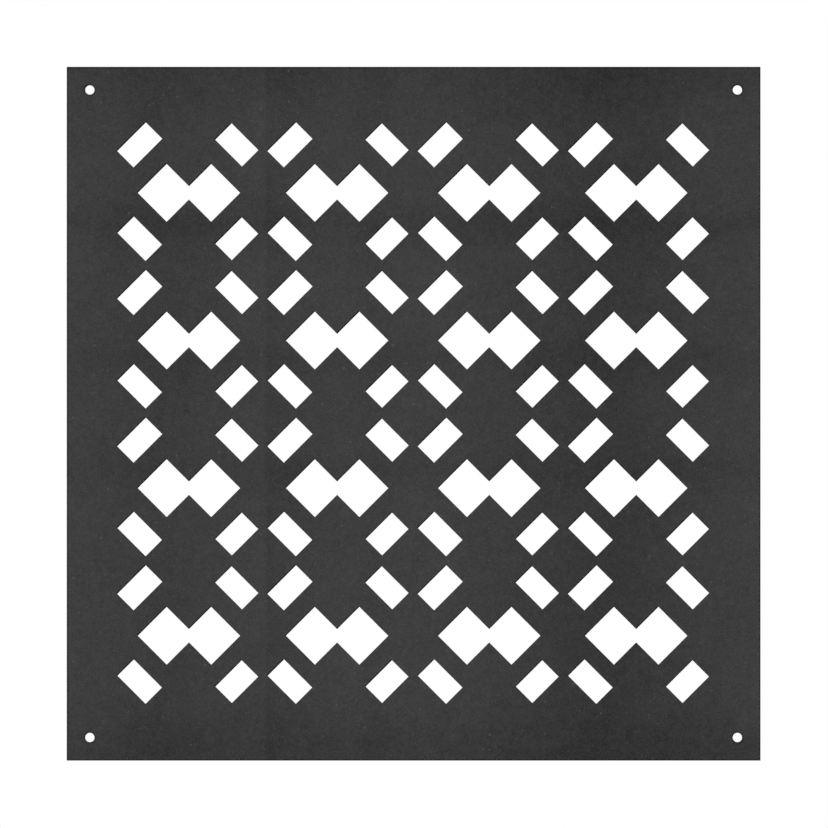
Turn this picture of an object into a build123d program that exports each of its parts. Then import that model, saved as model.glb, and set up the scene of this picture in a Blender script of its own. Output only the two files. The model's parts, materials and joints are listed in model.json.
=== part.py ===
from build123d import *
from math import sqrt
import os

# Fretwork room divider: a square panel of fibreboard, faced with a thin dark laminate, cut right
# through with a repeating pattern of slanted slots and paired diamonds, and bored at its corners.
# It is three layers bonded into one board: the fibreboard core, which shows at every cut edge,
# and a laminate over its front and its back. The panel hangs upright by its corner holes.
# X runs to the right as the front is seen, Y from the front to the back, and Z up.
# The origin is the middle of the board, and all sizes are in millimetres.

# The board
panel_width = 600.0
panel_height = 600.0
core_thickness = 5.6
laminate_thickness = 0.2

# The corner holes, for hanging rings, hooks or screws
hole_diameter = 8.0
hole_inset = 20.0  # from both nearest edges to a hole's centre

# The pattern: cells in columns and rows, each with a pair of diamonds and a slot at each corner
least_border = 40.0  # plain board that is kept at each side, so that it says how many cells fit
diamond_side = 35.3
neck_height = 11.4  # where the two diamonds of a pair run into each other
bar_width = 17.1  # solid bar between a diamond and the slot beside it
slot_width = 20.0
slot_length_top_left = 35.0
slot_length_top_right = 32.7
slot_length_bottom_left = 34.3
slot_length_bottom_right = 32.2
slot_slide = 1.0  # how far a slot sits out along its own slant, away from the pair's middle
bridge_width = 7.9  # solid bridge between the tips of two cells' slots
pattern_rise = 0.4  # middle of the pattern above the middle of the board
pair_drop = 0.9  # middle of a pair below the middle of its cell
pair_shifts = (0.6, -1.2, 0.4, -2.4)  # each column's pairs, to the right of its cells' middle

# A diamond is a square on its corner, and a pair is two of them side by side
diamond_reach = diamond_side / sqrt(2)
diamond_spread = diamond_reach - neck_height / 2  # from a pair's middle to each diamond's
pair_reach = diamond_spread + diamond_reach

# A slot lies beside a diamond, a bar's width away from it, and slants as the diamond's side does
slot_distance = pair_reach / sqrt(2) + bar_width + slot_width / 2
slot_out = (slot_distance + slot_slide) / sqrt(2)
slot_up = (slot_distance - slot_slide) / sqrt(2)
slots = (
    (-slot_out, slot_up, slot_length_top_left, 45),
    (slot_out, slot_up, slot_length_top_right, -45),
    (-slot_out, -slot_up, slot_length_bottom_left, -45),
    (slot_out, -slot_up, slot_length_bottom_right, 45),
)


def slot_reach(length):
    """Half the width, and half the height, that a slanting slot of this length takes up."""
    return (length + slot_width) / (2 * sqrt(2))


# Cells stand side by side and above each other with a bridge between their slots' tips
top_reach = slot_reach(slot_length_top_left) + slot_reach(slot_length_top_right)
left_reach = slot_reach(slot_length_top_left) + slot_reach(slot_length_bottom_left)
cell_width = 2 * slot_out + top_reach + bridge_width
cell_height = 2 * slot_up + left_reach + bridge_width
columns = int((panel_width - 2 * least_border) // cell_width)
rows = int((panel_height - 2 * least_border) // cell_height)


def cut_slots():
    """Takes the four slots of every cell out of the outline being drawn."""
    for across, up, length, slant in slots:
        with Locations((across, up + pattern_rise)):
            with GridLocations(cell_width, cell_height, columns, rows):
                Rectangle(length, slot_width, rotation=slant, mode=Mode.SUBTRACT)


def cut_pairs():
    """Takes the pair of diamonds of every cell out of the outline being drawn."""
    for column in range(columns):
        cell_middle = (column - (columns - 1) / 2) * cell_width
        pair_middle = cell_middle + pair_shifts[column % len(pair_shifts)]
        with Locations((pair_middle, pattern_rise - pair_drop)):
            with GridLocations(2 * diamond_spread, cell_height, 2, rows):
                Rectangle(diamond_side, diamond_side, rotation=45, mode=Mode.SUBTRACT)


def cut_corner_holes():
    """Takes the four corner holes out of the outline being drawn."""
    hole_span_x = panel_width - 2 * hole_inset
    hole_span_z = panel_height - 2 * hole_inset
    with GridLocations(hole_span_x, hole_span_z, 2, 2):
        Circle(hole_diameter / 2, mode=Mode.SUBTRACT)


def draw_fretwork():
    """Draws the outline that every layer shares, with all that is cut out of it."""
    Rectangle(panel_width, panel_height)
    cut_slots()
    cut_pairs()
    cut_corner_holes()


# The fibreboard between the two laminates
with BuildPart() as core_board:
    with BuildSketch(Plane.XZ.offset(-core_thickness / 2)):
        draw_fretwork()
    extrude(amount=core_thickness)
core_board.part.label = "core_board"

# The laminate on the front, which faces -Y
with BuildPart() as laminate_front:
    with BuildSketch(Plane.XZ.offset(core_thickness / 2)):
        draw_fretwork()
    extrude(amount=laminate_thickness)
laminate_front.part.label = "laminate_front"

# The laminate on the back, which keeps the board from bowing
with BuildPart() as laminate_back:
    with BuildSketch(Plane.XZ.offset(-core_thickness / 2 - laminate_thickness)):
        draw_fretwork()
    extrude(amount=laminate_thickness)
laminate_back.part.label = "laminate_back"

os.makedirs("parts", exist_ok=True)
export_step(core_board.part, "parts/core_board.step")
export_step(laminate_front.part, "parts/laminate_front.step")
export_step(laminate_back.part, "parts/laminate_back.step")

print(f"{columns} by {rows} cells of {cell_width:.2f} by {cell_height:.2f} mm")
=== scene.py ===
import json
from math import radians, sqrt

import bpy
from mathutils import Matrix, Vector


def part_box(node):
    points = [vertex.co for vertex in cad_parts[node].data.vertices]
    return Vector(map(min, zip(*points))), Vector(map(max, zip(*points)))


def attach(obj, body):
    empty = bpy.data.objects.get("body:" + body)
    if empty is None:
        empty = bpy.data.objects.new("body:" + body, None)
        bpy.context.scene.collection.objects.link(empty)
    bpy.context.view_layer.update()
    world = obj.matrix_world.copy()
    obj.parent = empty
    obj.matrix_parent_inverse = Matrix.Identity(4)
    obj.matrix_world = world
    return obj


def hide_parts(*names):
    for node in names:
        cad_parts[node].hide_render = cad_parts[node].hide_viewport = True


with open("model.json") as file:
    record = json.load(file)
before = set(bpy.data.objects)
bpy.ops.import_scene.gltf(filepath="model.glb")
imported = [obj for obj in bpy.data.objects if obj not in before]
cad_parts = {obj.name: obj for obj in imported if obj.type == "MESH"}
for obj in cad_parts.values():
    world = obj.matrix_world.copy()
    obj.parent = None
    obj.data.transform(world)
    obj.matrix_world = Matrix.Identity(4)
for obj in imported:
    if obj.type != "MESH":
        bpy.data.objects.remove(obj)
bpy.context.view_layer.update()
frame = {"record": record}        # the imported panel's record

# A fretwork divider panel: a fibreboard core between two dark laminates, cut through with slanted
# slots and pairs of diamonds. It hangs upright with its front towards -Y. Sizes are in metres.
MM = 0.001

# The panel and its layers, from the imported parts
board_low, board_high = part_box("core_board")
panel_width = board_high.x - board_low.x
panel_height = board_high.z - board_low.z
panel_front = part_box("laminate_front")[0].y
panel_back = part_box("laminate_back")[1].y

# The corner holes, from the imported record
mounts = {mount["name"]: mount for mount in frame["record"]["mounts"]}
corner_pattern = mounts["corner_holes"]["dims"]
hole_radius = corner_pattern["hole_r_mm"] * MM
hole_span_x = corner_pattern["spacing_x_mm"] * MM
hole_span_z = corner_pattern["spacing_y_mm"] * MM
hole_sides = 48

# The pattern's cells, each with a pair of diamonds and a slanted slot at each corner. These are the
# same sizes as in the part's source, written again here.
columns = 4
rows = 4
diamond_side = 35.3 * MM
neck_height = 11.4 * MM
bar_width = 17.1 * MM
slot_width = 20.0 * MM
slot_length_top_left = 35.0 * MM
slot_length_top_right = 32.7 * MM
slot_length_bottom_left = 34.3 * MM
slot_length_bottom_right = 32.2 * MM
slot_slide = 1.0 * MM
bridge_width = 7.9 * MM
pattern_rise = 0.4 * MM
pair_drop = 0.9 * MM
pair_shifts = (0.6 * MM, -1.2 * MM, 0.4 * MM, -2.4 * MM)

# Every cut wall that faces right or down leans, so that at the front it is set back by this much.
# The other walls are square with the faces. The amount was fitted to the look of the thin dark
# line that the photo has there, and wasn't measured.
cut_lean = 0.95 * MM

# The outer rim of each laminate is eased by this much, in this many steps, wherever two of its
# faces meet at more than this angle
rim_ease = 0.06 * MM
rim_steps = 2
rim_angle = radians(60)

# Points nearer to each other than this are one, and an edge as near as this to a face lies in it
weld_distance = 0.001 * MM

# A wall that lies further out than this share of the panel's size is one of its four edges
outer_share = 0.49

# What follows from the pattern's own sizes
diamond_reach = diamond_side / sqrt(2)
diamond_spread = diamond_reach - neck_height / 2
slot_distance = (diamond_spread + diamond_reach) / sqrt(2) + bar_width + slot_width / 2
slot_out = (slot_distance + slot_slide) / sqrt(2)
slot_up = (slot_distance - slot_slide) / sqrt(2)


def slot_reach(length):
    """Half the width, and half the height, that a slanting slot of this length takes up."""
    return (length + slot_width) / (2 * sqrt(2))


top_reach = slot_reach(slot_length_top_left) + slot_reach(slot_length_top_right)
left_reach = slot_reach(slot_length_top_left) + slot_reach(slot_length_bottom_left)
cell_width = 2 * slot_out + top_reach + bridge_width
cell_height = 2 * slot_up + left_reach + bridge_width


# Node trees are written with these few calls
def feed(tree, socket, value):
    """Sets an input to a plain value, or joins it to another node's output."""
    if isinstance(value, bpy.types.NodeSocket):
        tree.links.new(value, socket)
    else:
        socket.default_value = value


def add(tree, kind, values=None, **settings):
    """Adds a node with these settings, and fills its inputs, named or numbered, with the values."""
    made = tree.nodes.new(kind)
    for name, setting in settings.items():
        setattr(made, name, setting)
    for name, value in (values or {}).items():
        feed(tree, made.inputs[name], value)
    return made


def calc(tree, operation, *values):
    """One step of arithmetic, which gives its output."""
    made = add(tree, "ShaderNodeMath", operation=operation)
    for number, value in enumerate(values):
        feed(tree, made.inputs[number], value)
    return made.outputs[0]


def whole_calc(tree, operation, first, second):
    """One step of arithmetic with whole numbers, which gives its output."""
    return add(tree, "FunctionNodeIntegerMath", {0: first, 1: second}, operation=operation).outputs[0]


def point(tree, x=0.0, y=0.0, z=0.0):
    """A place or a size made of three numbers."""
    return add(tree, "ShaderNodeCombineXYZ", {"X": x, "Y": y, "Z": z}).outputs[0]


# The trees that draw the fretwork and give it a thickness
OUTLINE_SIZES = {
    "Panel Width": panel_width,
    "Panel Height": panel_height,
    "Cell Width": cell_width,
    "Cell Height": cell_height,
    "Pattern Rise": pattern_rise,
    "Slot Out": slot_out,
    "Slot Up": slot_up,
    "Slot Width": slot_width,
    "Slot Length Top Left": slot_length_top_left,
    "Slot Length Top Right": slot_length_top_right,
    "Slot Length Bottom Left": slot_length_bottom_left,
    "Slot Length Bottom Right": slot_length_bottom_right,
    "Diamond Reach": diamond_reach,
    "Diamond Spread": diamond_spread,
    "Pair Drop": pair_drop,
    **{f"Pair Shift {number + 1}": shift for number, shift in enumerate(pair_shifts)},
    "Hole Radius": hole_radius,
    "Hole Span X": hole_span_x,
    "Hole Span Z": hole_span_z,
}
OUTLINE_COUNTS = {"Columns": columns, "Rows": rows, "Hole Sides": hole_sides}
SHEET_FINISHES = ("Face", "Cut Wall", "Outer Edge")


def begin_tree(name, sizes, counts):
    """A geometry tree whose named inputs hold their usual sizes and counts."""
    tree = bpy.data.node_groups.new(name, "GeometryNodeTree")
    tree.interface.new_socket("Geometry", in_out="OUTPUT", socket_type="NodeSocketGeometry")
    for label, size in sizes.items():
        socket = tree.interface.new_socket(label, in_out="INPUT", socket_type="NodeSocketFloat")
        socket.default_value = size
    for label, count in counts.items():
        socket = tree.interface.new_socket(label, in_out="INPUT", socket_type="NodeSocketInt")
        socket.default_value = count
    return tree


def join(tree, parts):
    """Several pieces of geometry as one."""
    joined = add(tree, "GeometryNodeJoinGeometry")
    for part in parts:
        tree.links.new(part, joined.inputs[0])
    return joined.outputs[0]


def copies(tree, places, shape):
    """The same shape at each place."""
    return add(tree, "GeometryNodeInstanceOnPoints", {
        "Points": places,
        "Instance": shape,
    }).outputs["Instances"]


def choice(tree, kind, index, values):
    """Whichever of the values has this number."""
    switch = add(tree, "GeometryNodeIndexSwitch", {"Index": index}, data_type=kind)
    while len(switch.index_switch_items) < len(values):
        switch.index_switch_items.new()
    for number, value in enumerate(values):
        feed(tree, switch.inputs[number + 1], value)
    return switch.outputs[0]


def lean_back(tree, outline, lean):
    """Moves the upper left half of an opening further to the upper left, for a leaning cut."""
    position = add(tree, "GeometryNodeInputPosition").outputs[0]
    place = add(tree, "ShaderNodeSeparateXYZ", {"Vector": position}).outputs
    upper_left = calc(tree, "GREATER_THAN", place["Y"], place["X"])
    aside = calc(tree, "MULTIPLY", lean, sqrt(0.5))
    return add(tree, "GeometryNodeSetPosition", {
        "Geometry": outline,
        "Selection": upper_left,
        "Offset": point(tree, calc(tree, "MULTIPLY", aside, -1), aside),
    }).outputs["Geometry"]


def slot_outlines(tree, size, cells):
    """The slanted slot at each corner of every cell."""
    slots = []
    for across, up, slant, name in (
        (-1, 1, 45, "Slot Length Top Left"),
        (1, 1, -45, "Slot Length Top Right"),
        (-1, -1, -45, "Slot Length Bottom Left"),
        (1, -1, 45, "Slot Length Bottom Right"),
    ):
        slot = add(tree, "GeometryNodeCurvePrimitiveQuadrilateral", {
            "Width": size[name],
            "Height": size["Slot Width"],
        }).outputs["Curve"]
        slot = add(tree, "GeometryNodeTransform", {
            "Geometry": slot,
            "Rotation": (0.0, 0.0, radians(slant)),
        }).outputs["Geometry"]
        slot = lean_back(tree, slot, size["Lean"])
        x = calc(tree, "MULTIPLY", size["Slot Out"], across)
        y = calc(tree, "MULTIPLY", size["Slot Up"], up)
        slot = add(tree, "GeometryNodeTransform", {
            "Geometry": slot,
            "Translation": point(tree, x, y),
        }).outputs["Geometry"]
        slots.append(copies(tree, cells, slot))
    return slots


def pair_outlines(tree, size, cells):
    """The pair of diamonds of every cell, as one outline that runs round both."""
    spread = size["Diamond Spread"]
    reach = size["Diamond Reach"]
    tip = calc(tree, "ADD", spread, reach)
    neck = calc(tree, "SUBTRACT", reach, spread)
    corners = []
    for x, across, y, up in (
        (tip, 1, reach, 0),
        (spread, 1, reach, 1),
        (spread, 0, neck, 1),
        (spread, -1, reach, 1),
        (tip, -1, reach, 0),
        (spread, -1, reach, -1),
        (spread, 0, neck, -1),
        (spread, 1, reach, -1),
    ):
        corners.append(point(tree, calc(tree, "MULTIPLY", x, across), calc(tree, "MULTIPLY", y, up)))
    index = add(tree, "GeometryNodeInputIndex").outputs[0]
    pair = add(tree, "GeometryNodeCurvePrimitiveCircle", {"Resolution": len(corners)}).outputs["Curve"]
    pair = add(tree, "GeometryNodeSetPosition", {
        "Geometry": pair,
        "Position": choice(tree, "VECTOR", index, corners),
    }).outputs["Geometry"]
    pair = lean_back(tree, pair, size["Lean"])

    # Each column of pairs stands a little aside of its cells, and all of them a little below
    shifts = [size[f"Pair Shift {number + 1}"] for number in range(len(pair_shifts))]
    column = whole_calc(tree, "DIVIDE_FLOOR", index, size["Rows"])
    aside = choice(tree, "FLOAT", whole_calc(tree, "MODULO", column, len(shifts)), shifts)
    below = calc(tree, "MULTIPLY", size["Pair Drop"], -1)
    places = add(tree, "GeometryNodeSetPosition", {
        "Geometry": cells,
        "Offset": point(tree, aside, below),
    }).outputs["Geometry"]
    return copies(tree, places, pair)


def outline_tree():
    """Draws the panel's outline with all its openings, lying flat. The lean is how far the walls
    that face right or down are set back at this depth."""
    tree = begin_tree("Fretwork Outline", {**OUTLINE_SIZES, "Lean": 0.0}, OUTLINE_COUNTS)
    size = add(tree, "NodeGroupInput").outputs

    # One point in the middle of each cell
    across = calc(tree, "MULTIPLY", calc(tree, "SUBTRACT", size["Columns"], 1), size["Cell Width"])
    up = calc(tree, "MULTIPLY", calc(tree, "SUBTRACT", size["Rows"], 1), size["Cell Height"])
    cells = add(tree, "GeometryNodeMeshGrid", {
        "Size X": across,
        "Size Y": up,
        "Vertices X": size["Columns"],
        "Vertices Y": size["Rows"],
    }).outputs["Mesh"]
    cells = add(tree, "GeometryNodeTransform", {
        "Geometry": cells,
        "Translation": point(tree, y=size["Pattern Rise"]),
    }).outputs["Geometry"]

    # The corner holes
    hole_places = add(tree, "GeometryNodeMeshGrid", {
        "Size X": size["Hole Span X"],
        "Size Y": size["Hole Span Z"],
        "Vertices X": 2,
        "Vertices Y": 2,
    }).outputs["Mesh"]
    hole = add(tree, "GeometryNodeCurvePrimitiveCircle", {
        "Resolution": size["Hole Sides"],
        "Radius": size["Hole Radius"],
    }).outputs["Curve"]
    hole = lean_back(tree, hole, size["Lean"])

    # The panel's own outline, whose left and top edges stay where they are
    panel = add(tree, "GeometryNodeCurvePrimitiveQuadrilateral", {
        "Width": calc(tree, "SUBTRACT", size["Panel Width"], size["Lean"]),
        "Height": calc(tree, "SUBTRACT", size["Panel Height"], size["Lean"]),
    }).outputs["Curve"]
    aside = calc(tree, "MULTIPLY", size["Lean"], 0.5)
    panel = add(tree, "GeometryNodeTransform", {
        "Geometry": panel,
        "Translation": point(tree, calc(tree, "MULTIPLY", aside, -1), aside),
    }).outputs["Geometry"]

    outlines = slot_outlines(tree, size, cells)
    outlines += [pair_outlines(tree, size, cells), copies(tree, hole_places, hole), panel]
    drawn = add(tree, "GeometryNodeRealizeInstances", {"Geometry": join(tree, outlines)})
    tree.links.new(drawn.outputs[0], add(tree, "NodeGroupOutput").inputs[0])
    return tree


def sheet_tree(outline_group):
    """Fills the outline at the sheet's back, draws it out to its front, and finishes it."""
    sizes = {
        **OUTLINE_SIZES,
        "Front": 0.0,
        "Back": 0.0,
        "Front Lean": 0.0,
        "Back Lean": 0.0,
        "Ease Front Rim": 0.0,
        "Ease Back Rim": 0.0,
    }
    tree = begin_tree("Fretwork Sheet", sizes, OUTLINE_COUNTS)
    for label in SHEET_FINISHES:
        tree.interface.new_socket(label, in_out="INPUT", socket_type="NodeSocketMaterial")
    size = add(tree, "NodeGroupInput").outputs
    passed = {label: size[label] for label in (*OUTLINE_SIZES, *OUTLINE_COUNTS)}
    outline = {}
    for side in ("Front", "Back"):
        passed["Lean"] = size[f"{side} Lean"]
        outline[side] = add(tree, "GeometryNodeGroup", passed, node_tree=outline_group).outputs[0]

    # A flat filled sheet, thickened, with its front spread to the front's own outline
    thickness = calc(tree, "SUBTRACT", size["Back"], size["Front"])
    flat = add(tree, "GeometryNodeFillCurve", {"Curve": outline["Back"]}, mode="NGONS").outputs["Mesh"]
    thick = add(tree, "GeometryNodeExtrudeMesh", {
        "Mesh": flat,
        "Offset Scale": thickness,
        "Individual": False,
    }, mode="FACES").outputs
    corner = {}
    for side in ("Front", "Back"):
        corner[side] = add(tree, "GeometryNodeCurveToMesh", {"Curve": outline[side]}).outputs["Mesh"]
    nearest = add(tree, "GeometryNodeSampleNearest", {"Geometry": corner["Back"]}, domain="POINT")
    position = add(tree, "GeometryNodeInputPosition").outputs[0]
    matching = add(tree, "GeometryNodeSampleIndex", {
        "Geometry": corner["Front"],
        "Value": position,
        "Index": nearest.outputs["Index"],
    }, data_type="FLOAT_VECTOR", domain="POINT").outputs[0]
    forward = add(tree, "ShaderNodeVectorMath", {0: matching, 1: point(tree, z=thickness)}).outputs[0]
    leaning = add(tree, "GeometryNodeSetPosition", {
        "Geometry": thick["Mesh"],
        "Selection": thick["Top"],
        "Position": forward,
    }).outputs["Geometry"]
    back = add(tree, "GeometryNodeFlipFaces", {"Mesh": flat}).outputs["Mesh"]
    solid = add(tree, "GeometryNodeMergeByDistance", {
        "Geometry": join(tree, (back, leaning)),
        "Distance": weld_distance,
    }).outputs["Geometry"]
    solid = add(tree, "GeometryNodeTransform", {
        "Geometry": solid,
        "Rotation": (radians(90), 0.0, 0.0),
        "Translation": point(tree, y=size["Back"]),
    }).outputs["Geometry"]

    # The rims to ease are the sharp edges that lie in the front or the back
    place = add(tree, "ShaderNodeSeparateXYZ", {"Vector": position}).outputs
    angle = add(tree, "GeometryNodeInputMeshEdgeAngle").outputs["Unsigned Angle"]
    sharp = calc(tree, "GREATER_THAN", angle, rim_angle)
    rim = 0.0
    for side in ("Front", "Back"):
        near = calc(tree, "COMPARE", place["Y"], size[side], weld_distance)
        wanted = calc(tree, "MULTIPLY", near, size[f"Ease {side} Rim"])
        rim = calc(tree, "ADD", rim, calc(tree, "MULTIPLY", wanted, sharp))
    solid = add(tree, "GeometryNodeStoreNamedAttribute", {
        "Geometry": solid,
        "Name": "bevel_weight_edge",
        "Value": rim,
    }, data_type="FLOAT", domain="EDGE").outputs["Geometry"]

    # The finish of the faces, of the walls of the openings and of the panel's four edges
    out_x = calc(tree, "DIVIDE", calc(tree, "ABSOLUTE", place["X"]), size["Panel Width"])
    out_z = calc(tree, "DIVIDE", calc(tree, "ABSOLUTE", place["Z"]), size["Panel Height"])
    outermost = calc(tree, "GREATER_THAN", calc(tree, "MAXIMUM", out_x, out_z), outer_share)
    edges = add(tree, "FunctionNodeBooleanMath", {0: outermost, 1: thick["Side"]}, operation="AND")
    solid = add(tree, "GeometryNodeRealizeInstances", {"Geometry": solid}).outputs["Geometry"]
    for label, chosen in zip(SHEET_FINISHES, (True, thick["Side"], edges.outputs[0])):
        solid = add(tree, "GeometryNodeSetMaterial", {
            "Geometry": solid,
            "Selection": chosen,
            "Material": size[label],
        }).outputs["Geometry"]
    tree.links.new(solid, add(tree, "NodeGroupOutput").inputs[0])
    return tree


def make_sheet(tree, name, node, finishes, ease_front=0.0, ease_back=0.0):
    """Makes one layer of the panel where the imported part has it, as a plain mesh."""
    low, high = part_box(node)
    whole = panel_back - panel_front
    draft = bpy.data.objects.new(f"{name}_draft", bpy.data.meshes.new(f"{name}_draft"))
    bpy.context.collection.objects.link(draft)
    draw = draft.modifiers.new("Draw", "NODES")
    draw.node_group = tree
    wanted = {
        "Front": low.y,
        "Back": high.y,
        "Front Lean": cut_lean * (panel_back - low.y) / whole,
        "Back Lean": cut_lean * (panel_back - high.y) / whole,
        "Ease Front Rim": ease_front,
        "Ease Back Rim": ease_back,
        **dict(zip(SHEET_FINISHES, finishes)),
    }
    for item in tree.interface.items_tree:
        if item.in_out == "INPUT" and item.name in wanted:
            draw[item.identifier] = wanted[item.name]
    if ease_front or ease_back:
        ease = draft.modifiers.new("Ease", "BEVEL")
        ease.limit_method = "WEIGHT"
        ease.offset_type = "OFFSET"
        ease.width = rim_ease
        ease.segments = rim_steps
    depsgraph = bpy.context.evaluated_depsgraph_get()
    mesh = bpy.data.meshes.new_from_object(draft.evaluated_get(depsgraph), depsgraph=depsgraph)
    mesh.name = name
    sheet = bpy.data.objects.new(name, mesh)
    bpy.context.collection.objects.link(sheet)
    bpy.data.objects.remove(draft)
    return sheet


# What the shader groups and the materials are written with
def begin_group(name, inputs, position=True):
    """A shader group whose named inputs hold their usual values, and what comes in through them.
    Most groups also take the position of the point that is shaded."""
    tree = bpy.data.node_groups.new(name, "ShaderNodeTree")
    if position:
        tree.interface.new_socket("Position", in_out="INPUT", socket_type="NodeSocketVector")
    for label, value in inputs.items():
        socket = tree.interface.new_socket(label, in_out="INPUT", socket_type="NodeSocketFloat")
        socket.default_value = value
    return tree, add(tree, "NodeGroupInput").outputs


def end_group(tree, outputs):
    """Gives a group its named outputs."""
    for label in outputs:
        tree.interface.new_socket(label, in_out="OUTPUT", socket_type="NodeSocketFloat")
    ends = add(tree, "NodeGroupOutput")
    for label, socket in outputs.items():
        tree.links.new(socket, ends.inputs[label])
    return tree


def use(tree, group, values):
    """Places a group in a tree with its own values, and gives its outputs."""
    return add(tree, "ShaderNodeGroup", values, node_tree=group).outputs


def remap(tree, value, low, high, to_low=0.0, to_high=1.0, smooth=False):
    """Turns one range of values into another, and holds what lies past its ends."""
    return add(tree, "ShaderNodeMapRange", {
        "Value": value,
        "From Min": low,
        "From Max": high,
        "To Min": to_low,
        "To Max": to_high,
    }, interpolation_type="SMOOTHSTEP" if smooth else "LINEAR").outputs[0]


def cloud(tree, place, size, detail=0.0, roughness=0.5):
    """Soft random light and dark between 0 and 1, with features of about this size, and as many
    finer ones as the detail says."""
    return add(tree, "ShaderNodeTexNoise", {
        "Vector": place,
        "Scale": 1 / size,
        "Detail": detail,
        "Roughness": roughness,
    }).outputs["Fac"]


def swing(tree, value, strength, middle=0.5):
    """A cloud's light and dark to both sides of nothing, as strong as this."""
    return calc(tree, "MULTIPLY", calc(tree, "SUBTRACT", value, middle), strength)


def total(tree, first, *others):
    """The sum of several values."""
    for value in others:
        first = calc(tree, "ADD", first, value)
    return first


def stretch(tree, place, x=1.0, y=1.0, z=1.0):
    """The same place with each direction drawn out or pressed together."""
    return add(tree, "ShaderNodeMapping", {"Vector": place, "Scale": (x, y, z)}).outputs[0]


def felt_group():
    """The fine grain of pressed fibres: two sizes of grain, and short pale hairs here and there."""
    tree, given = begin_group("Pressed Fibres", {"Fine": 0.2, "Coarse": 0.3, "Hairs": 0.1})
    place = given["Position"]

    # The power makes the pale fine grains fewer and stronger than the dark ones
    fine = remap(tree, cloud(tree, place, fine_grain, 1.0, 0.7), 0.3, 0.8)
    fine = swing(tree, calc(tree, "POWER", fine, 1.6), given["Fine"], 0.24)
    coarse = swing(tree, cloud(tree, place, coarse_grain, 1.0, 0.6), given["Coarse"])

    # The hairs follow a cloud's middle level, where another cloud lets them
    curls = calc(tree, "ABSOLUTE", swing(tree, cloud(tree, place, hair_curl, 1.5), 1.0))
    curls = remap(tree, curls, 0.0, hair_width, 1.0, 0.0)
    broken = remap(tree, cloud(tree, place, hair_break), 0.56, 0.66)
    hairs = calc(tree, "MULTIPLY", calc(tree, "MULTIPLY", curls, broken), given["Hairs"])
    tone = total(tree, fine, coarse, hairs)
    return end_group(tree, {"Tone": tone, "Height": total(tree, fine, coarse)})


def speck_group():
    """Scattered specks of many sizes, each with a strength of its own, few of them strong."""
    usual = {"Spacing": 6.0 * MM, "Radius": 1.0 * MM, "Strength": 1.0}
    tree, given = begin_group("Specks", usual)
    cells = add(tree, "ShaderNodeTexVoronoi", {
        "Vector": given["Position"],
        "Scale": calc(tree, "DIVIDE", 1.0, given["Spacing"]),
    }).outputs
    away = calc(tree, "MULTIPLY", cells["Distance"], given["Spacing"])
    inside = calc(tree, "SUBTRACT", 1.0, calc(tree, "DIVIDE", away, given["Radius"]))
    inside = calc(tree, "MAXIMUM", inside, 0.0)
    lot = add(tree, "ShaderNodeSeparateColor", {"Color": cells["Color"]}).outputs["Red"]
    lot = calc(tree, "POWER", lot, 3.0)
    amount = calc(tree, "MULTIPLY", calc(tree, "MULTIPLY", inside, lot), given["Strength"])
    return end_group(tree, {"Tone": amount})


def band_group():
    """One soft darker band across the sheet, deepest at its centre."""
    usual = {"Place": 0.0, "Centre": 0.0, "Before": 20 * MM, "After": 20 * MM, "Depth": 0.1}
    tree, given = begin_group("Soft Band", usual, position=False)
    begins = calc(tree, "SUBTRACT", given["Centre"], given["Before"])
    ends = calc(tree, "ADD", given["Centre"], given["After"])
    rise = remap(tree, given["Place"], begins, given["Centre"])
    fall = remap(tree, given["Place"], given["Centre"], ends, 1.0, 0.0)
    depth = calc(tree, "MULTIPLY", calc(tree, "MULTIPLY", rise, fall), given["Depth"])
    return end_group(tree, {"Shade": depth})


def cut_board_group():
    """Bare fibreboard where it was cut: denser and darker next to the laminates, and marked by
    the cut in fine streaks that run from the front to the back."""
    tree, given = begin_group("Cut Board", {"Skin": 0.3, "Streaks": 0.4})
    place = given["Position"]
    depth = add(tree, "ShaderNodeSeparateXYZ", {"Vector": place}).outputs["Y"]
    waver = swing(tree, cloud(tree, place, waver_size, 2.0), waver_reach)
    outer = calc(tree, "ADD", calc(tree, "ABSOLUTE", depth), waver)
    skin = remap(tree, outer, skin_begins, skin_ends, 0.0, given["Skin"], smooth=True)
    along = stretch(tree, place, y=streak_stretch)
    streaks = swing(tree, cloud(tree, along, streak_width, 2.0, 0.6), given["Streaks"])
    patches = swing(tree, cloud(tree, place, patch_size, 3.0, 0.6), patch_strength)
    grain = use(tree, felt, {"Position": place, **board_felt})
    tone = total(tree, 1.0, streaks, patches, grain["Tone"])
    return end_group(tree, {
        "Tone": calc(tree, "SUBTRACT", tone, skin),
        "Roughness": remap(tree, streaks, -0.2, 0.2, *board_roughness),
        "Height": total(tree, grain["Height"], streaks),
    })


# The sizes of the grain and the hairs of pressed fibres. The hairs' width is a share of the light
# and dark of the cloud that they follow.
fine_grain = 1.1 * MM
coarse_grain = 3.2 * MM
hair_curl = 9.0 * MM
hair_break = 5.0 * MM
hair_width = 0.022

# How strong the felt is on each material
laminate_felt = {"Fine": 0.72, "Coarse": 0.54, "Hairs": 0.2}
board_felt = {"Fine": 0.3, "Coarse": 0.4, "Hairs": 0.3}

# The cut fibreboard: the dark skin next to the laminates, by its distance from the middle of the
# board, and how it wavers, the streaks, which are drawn out from front to back, and the patches
skin_begins = 1.2 * MM
skin_ends = 2.8 * MM
waver_size = 4 * MM
waver_reach = 0.8 * MM
streak_width = 1.0 * MM
streak_stretch = 0.08
patch_size = 25 * MM
patch_strength = 0.5
board_roughness = (0.78, 0.95)

felt = felt_group()
specks = speck_group()
soft_band = band_group()
cut_board = cut_board_group()

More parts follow.
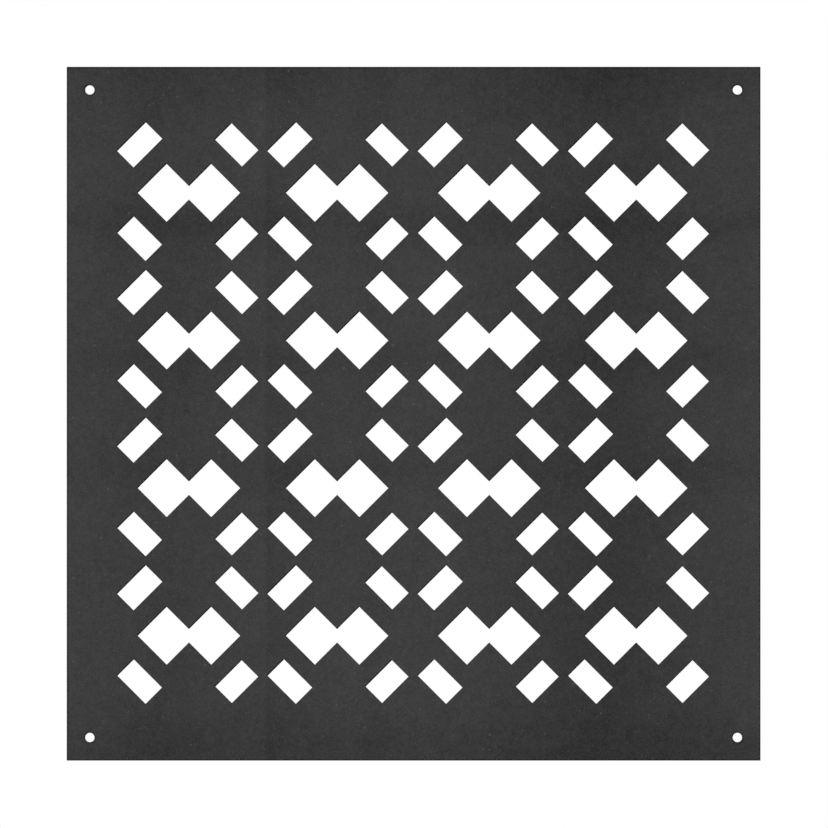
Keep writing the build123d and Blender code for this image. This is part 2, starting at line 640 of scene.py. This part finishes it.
# The laminate's colour, and the clouds and blots of light and dark in it. They change faster
# through the panel than along it, so that its two faces differ.
laminate_colour = (0.0384, 0.0384, 0.0384)
laminate_specular = 0.2
through_stretch = 40
cloud_size = 70 * MM
cloud_strength = 0.42
blot_size = 16 * MM
blot_strength = 0.2
sheen_size = 12 * MM
laminate_roughness = (0.66, 0.8)

# The two sorts of pale specks in the laminate, strong ones and faint ones
grit = {"Spacing": 6 * MM, "Radius": 1.0 * MM, "Strength": 1.9}
dust = {"Spacing": 3 * MM, "Radius": 0.6 * MM, "Strength": 1.4}

# The faint dark line in the laminate, which the photo has along two edges and round the holes, and
# which may be only the picture's sharpening: how dark it is, and how far in it is full and ends
rim_depth = 0.3
rim_full = 0.92 * MM
rim_reach = 2.3 * MM

# How high the grain stands, at most
laminate_relief = 0.05 * MM
board_relief = 0.15 * MM
bump_strength = 0.6

# The darkest that grain, bands and rims together can make a material, as a share of its colour
least_tone = 0.1

# The soft darker bands across the laminate, as the photo has them, with one along its top edge and one
# along its bottom edge, so that it is darker towards both: the centre, how far each reaches before and
# after it, how much darker its centre is, and how far it strays from straight
band_wander = 40 * MM
upright_bands = (
    (-220 * MM, 78 * MM, 80 * MM, 0.18, 14 * MM),
    (-126 * MM, 4 * MM, 66 * MM, 0.17, 0.0),
    (-39 * MM, 16 * MM, 27 * MM, 0.07, 3 * MM),
    (168 * MM, 140 * MM, 135 * MM, 0.35, 18 * MM),
)
level_bands = (
    (300 * MM, 62 * MM, 50 * MM, 0.24, 20 * MM),
    (164 * MM, 30 * MM, 28 * MM, 0.21, 14 * MM),
    (49 * MM, 22 * MM, 22 * MM, 0.13, 16 * MM),
    (-49 * MM, 26 * MM, 20 * MM, 0.11, 16 * MM),
    (-300 * MM, 50 * MM, 60 * MM, 0.26, 20 * MM),
)


def start_material(name, specular):
    """An empty material with its shader, and where each point of the piece lies."""
    material = bpy.data.materials.new(name)
    material.use_nodes = True
    tree = material.node_tree
    shader = tree.nodes["Principled BSDF"]
    shader.inputs["Specular IOR Level"].default_value = specular
    place = add(tree, "ShaderNodeTexCoord").outputs["Object"]
    return material, tree, shader, place


def finish_material(tree, shader, colour, relief, tone, rough, height):
    """Feeds the shader its colour times the tone, its roughness, and its grain as a bump of this
    relief."""
    tone = calc(tree, "MAXIMUM", tone, least_tone)
    shade = add(tree, "ShaderNodeVectorMath", {"Vector": colour, "Scale": tone}, operation="SCALE")
    feed(tree, shader.inputs["Base Color"], shade.outputs[0])
    feed(tree, shader.inputs["Roughness"], rough)
    bump = add(tree, "ShaderNodeBump", {
        "Height": height,
        "Strength": bump_strength,
        "Distance": relief,
    })
    feed(tree, shader.inputs["Normal"], bump.outputs[0])


def band_shade(tree, spread, across):
    """How much darker the soft bands make each point of the laminate."""
    wander = swing(tree, cloud(tree, spread, band_wander, 2.0), 2.0)
    shade = 0.0
    for side, bands in (("X", upright_bands), ("Z", level_bands)):
        for centre, before, after, depth, stray in bands:
            band = use(tree, soft_band, {
                "Place": calc(tree, "MULTIPLY_ADD", wander, stray, across[side]),
                "Centre": centre,
                "Before": before,
                "After": after,
                "Depth": depth,
            })
            shade = calc(tree, "ADD", shade, band["Shade"])
    return shade


def rim_shade(tree, across):
    """How much darker the laminate is along its left and top edges, and round the corner
    holes."""
    from_left = calc(tree, "ADD", across["X"], panel_width / 2)
    from_top = calc(tree, "SUBTRACT", panel_height / 2, across["Z"])
    from_edge = calc(tree, "MINIMUM", from_left, from_top)
    hole_distance = 0.0
    for side, span in (("X", hole_span_x), ("Z", hole_span_z)):
        away = calc(tree, "SUBTRACT", calc(tree, "ABSOLUTE", across[side]), span / 2)
        hole_distance = calc(tree, "ADD", hole_distance, calc(tree, "POWER", away, 2.0))
    from_hole = calc(tree, "SUBTRACT", calc(tree, "SQRT", hole_distance), hole_radius)
    from_cut = calc(tree, "MINIMUM", from_edge, from_hole)
    return remap(tree, from_cut, rim_full, rim_reach, rim_depth, 0.0)


def dyed_laminate():
    """Dark paper laminate, dyed through, with clouds, a fine felt and pale specks, and soft darker
    bands that make it darker towards its top and bottom edges.
    """
    material, tree, shader, place = start_material("Dyed Laminate", laminate_specular)
    spread = stretch(tree, place, y=through_stretch)
    across = add(tree, "ShaderNodeSeparateXYZ", {"Vector": place}).outputs
    clouds = swing(tree, cloud(tree, spread, cloud_size, 5.0, 0.75), cloud_strength)
    blots = swing(tree, cloud(tree, spread, blot_size, 2.0, 0.6), blot_strength)
    grain = use(tree, felt, {"Position": spread, **laminate_felt})
    tone = total(tree, 1.0, clouds, blots, grain["Tone"])
    for sort in (grit, dust):
        tone = calc(tree, "ADD", tone, use(tree, specks, {"Position": spread, **sort})["Tone"])
    tone = calc(tree, "SUBTRACT", tone, band_shade(tree, spread, across))
    tone = calc(tree, "SUBTRACT", tone, rim_shade(tree, across))
    rough = remap(tree, cloud(tree, spread, sheen_size, 3.0), 0.3, 0.7, *laminate_roughness)
    finish_material(tree, shader, laminate_colour, laminate_relief, tone, rough, grain["Height"])
    return material


def cut_fibreboard(name, colour, skin, streaks):
    """The bare edge of the fibreboard in this colour, with a skin and streaks as dark as these."""
    material, tree, shader, place = start_material(name, 0.0)
    board = use(tree, cut_board, {"Position": place, "Skin": skin, "Streaks": streaks})
    finish_material(
        tree, shader, colour, board_relief,
        board["Tone"], board["Roughness"], board["Height"],
    )
    return material


laminate = dyed_laminate()
scorched = cut_fibreboard("Scorched Wall", (0.021, 0.0135, 0.0095), 0.35, 0.5)
sawn = cut_fibreboard("Sawn Edge", (0.031, 0.0155, 0.007), 0.3, 0.4)

# The three sheets, each in the place of its packed layer
fretwork = sheet_tree(outline_tree())
finishes = (laminate, scorched, sawn)
for name, node, slot, eased in (
    ("core_sheet", "core_board", "fibreboard", {}),
    ("front_sheet", "laminate_front", "laminate", {"ease_front": 1.0}),
    ("back_sheet", "laminate_back", "laminate", {"ease_back": 1.0}),
):
    sheet = make_sheet(fretwork, name, node, finishes, **eased)
    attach(sheet, "root")
    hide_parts(node)

# The camera looks straight at the front, from far off through a very long lens, so that the
# panel's edges stay square. The sizes in pixels are those of the panel in the photograph.
photo_pixels = 828
panel_pixels = 693.9
panel_middle_x = 413.65
panel_middle_y = 413.75
lens_mm = 1000
sensor_mm = 36

pixel = panel_width / panel_pixels
distance = photo_pixels * pixel * lens_mm / sensor_mm
camera_data = bpy.data.cameras.new("Camera")
camera_data.lens = lens_mm
camera_data.sensor_width = sensor_mm
camera_data.clip_start = 1.0
camera_data.clip_end = 200.0
camera = bpy.data.objects.new("Camera", camera_data)
bpy.context.collection.objects.link(camera)
camera.location = (
    (photo_pixels / 2 - panel_middle_x) * pixel,
    panel_front - distance,
    (panel_middle_y - photo_pixels / 2) * pixel,
)
camera.rotation_euler = (radians(90), 0, 0)
bpy.context.scene.camera = camera

# The floor, well below the hanging panel. The camera sees it a little paler than it is lit.
floor_drop = 1.3
floor_size = 80.0
floor_grey = 0.76
floor_roughness = 0.9
floor_lift = 0.2


def pale_floor():
    """A plain matt finish for the floor, which gives off its lift to the camera alone."""
    material = bpy.data.materials.new("Pale Floor")
    material.use_nodes = True
    tree = material.node_tree
    shader = tree.nodes["Principled BSDF"]
    shader.inputs["Base Color"].default_value = (floor_grey, floor_grey, floor_grey, 1.0)
    shader.inputs["Roughness"].default_value = floor_roughness
    shader.inputs["Emission Strength"].default_value = floor_lift
    seen = add(tree, "ShaderNodeLightPath").outputs["Is Camera Ray"]
    feed(tree, shader.inputs["Emission Color"], seen)
    return material


bpy.ops.mesh.primitive_plane_add(size=floor_size, location=(0, 0, -floor_drop))
floor = bpy.context.object
floor.name = "floor"
floor.data.materials.append(pale_floor())

# The world: white where it is seen, and a plain level of light on the panel
ambient = 0.5
world = bpy.data.worlds.new("World")
bpy.context.scene.world = world
world.use_nodes = True
sky = world.node_tree
sky.nodes.clear()
path = add(sky, "ShaderNodeLightPath").outputs
seen = calc(sky, "MAXIMUM", path["Is Camera Ray"], path["Is Glossy Ray"])
seen = calc(sky, "MAXIMUM", seen, path["Is Transmission Ray"])
level = remap(sky, seen, 0.0, 1.0, ambient, 1.0)
light = add(sky, "ShaderNodeBackground", {"Strength": level, "Color": (1, 1, 1, 1)})
add(sky, "ShaderNodeOutputWorld", {"Surface": light.outputs[0]})


def lamp(name, place, size, power):
    """A square soft lamp that faces the middle of the panel."""
    data = bpy.data.lights.new(name, "AREA")
    data.size = size
    data.energy = power
    made = bpy.data.objects.new(name, data)
    bpy.context.collection.objects.link(made)
    made.location = place
    made.rotation_mode = "QUATERNION"
    made.rotation_quaternion = (-Vector(place)).to_track_quat("-Z", "Y")


lamp_size = 3.0
lamp("Key", (-2.8, -3.6, 2.2), lamp_size, 95)
lamp("Fill", (3.2, -3.6, 1.2), lamp_size, 60)
lamp("Back", (1.5, 4.2, 2.4), lamp_size, 120)

bpy.context.scene.view_settings.view_transform = "Standard"
